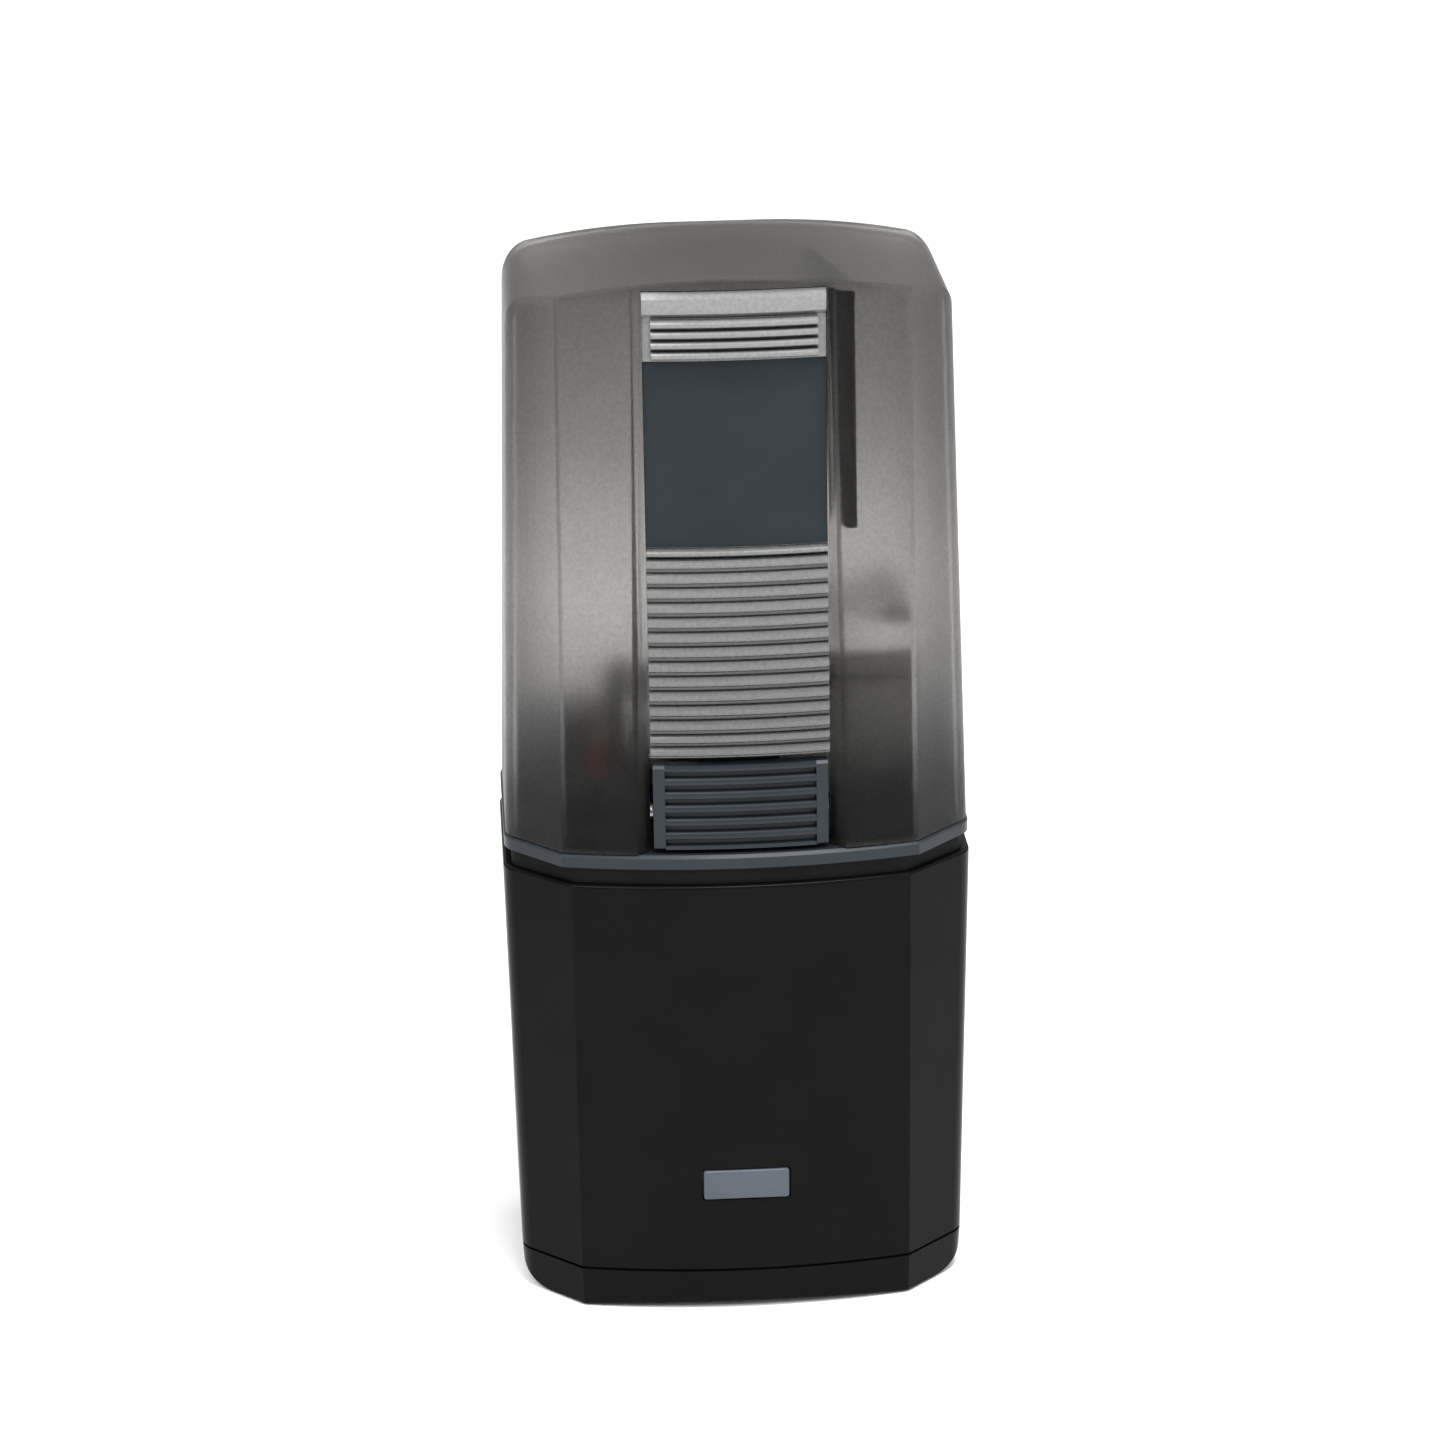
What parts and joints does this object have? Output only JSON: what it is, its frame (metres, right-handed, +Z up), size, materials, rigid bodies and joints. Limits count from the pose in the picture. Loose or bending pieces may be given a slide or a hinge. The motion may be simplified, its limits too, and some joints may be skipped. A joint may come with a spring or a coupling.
{
  "type": "aquarium air pump",
  "caption": "Upright battery aquarium air pump: gloss black battery case, slate deck and latch, frosted smoke cover over a motor-driven diaphragm pump, rear hose nipple.",
  "frame": {"origin": "on the plane of the feet, under the middle of the overall bounding box", "axes": "+X to the right for someone facing the front, +Y towards the back where the outlet nipple points, +Z up"},
  "size_m": [0.0814, 0.0633, 0.1861],
  "materials": {
    "black_gloss": "gloss",
    "black_matte": "matt",
    "black_zinc": "black zinc plated",
    "board": "satin",
    "brass": "satin",
    "button_slate": "satin",
    "cell_skin": "gloss",
    "copper": "enamelled",
    "felt": "open felt",
    "ferrite": "matt",
    "graphite": "matt",
    "label": "gloss",
    "natural": "satin",
    "rubber": "matt",
    "silicone": "satin",
    "silver_smoke": "satin",
    "slate": "satin",
    "smoke": "frosted, translucent",
    "spring_steel": "polished",
    "steel": "satin",
    "wire_black": "satin",
    "wire_red": "satin"
  },
  "bodies": {
    "housing": {"case_shell": "black_gloss", "base_cap": "black_gloss", "base_gasket": "rubber", "rubber_feet": "rubber", "base_screws": "black_zinc", "d_cell_left": "cell_skin", "d_cell_right": "cell_skin", "contact_positive": "spring_steel", "contact_negative": "spring_steel", "contact_bridge": "spring_steel", "battery_spring": "spring_steel", "contact_carrier": "black_matte", "outlet_nipple": "black_matte", "switch_board": "board", "push_switch": "black_matte", "board_screws": "black_zinc", "deck_gasket": "rubber", "deck": "slate", "deck_screws": "black_zinc", "latch_pin": "steel", "motor_can": "black_zinc", "motor_magnets": "ferrite", "motor_end_bell": "black_matte", "motor_terminals": "brass", "motor_screws": "black_zinc", "motor_cradle": "rubber", "pump_frame": "graphite", "frame_screws": "black_zinc", "valve_block": "graphite", "valve_cover": "natural", "intake_valve": "silicone", "outlet_valve": "silicone", "intake_filter": "felt", "filter_cap": "natural", "head_screws": "black_zinc", "outlet_hose": "silicone", "wire_red": "wire_red", "wire_black": "wire_black"},
    "cover": {"smoked_cover": "smoke", "top_grip": "silver_smoke", "rib_panel": "silver_smoke", "label_panel": "label", "muffler_baffle": "black_matte"},
    "latch": {"latch_lever": "slate", "latch_spring": "spring_steel"},
    "button": {"power_button": "button_slate"},
    "rotor": {"motor_shaft": "steel", "armature": "steel", "commutator": "copper", "eccentric_wheel": "brass", "crank_pin": "steel"},
    "pump_rod": {"connecting_rod": "graphite", "diaphragm_plate": "graphite", "diaphragm_washer": "black_zinc", "diaphragm": "rubber"}
  },
  "joints": [
    {"name": "cover_lift", "type": "slide", "parent": "housing", "child": "cover", "axis": [0, 0, 1], "range_m": [0, 0.11]},
    {"name": "latch_rock", "type": "hinge", "parent": "housing", "child": "latch", "pos_m": [0, -0.024, 0.0915], "axis": [-1, 0, 0], "range_deg": [0, 8], "stiffness_Nm_per_rad": 0.5},
    {"name": "power_press", "type": "slide", "parent": "housing", "child": "button", "axis": [0, 1, 0], "range_m": [0, 0.0012], "stiffness_N_per_m": 800},
    {"name": "rotor_spin", "type": "hinge", "parent": "housing", "child": "rotor", "pos_m": [0, -0.0043, 0.1001], "axis": [1, 0, 0], "continuous": true},
    {"name": "rod_stroke", "type": "slide", "parent": "housing", "child": "pump_rod", "axis": [0, 0, 1], "range_m": [-0.0008, 0.0008], "stiffness_N_per_m": 600, "deforming": ["diaphragm"]}
  ]
}
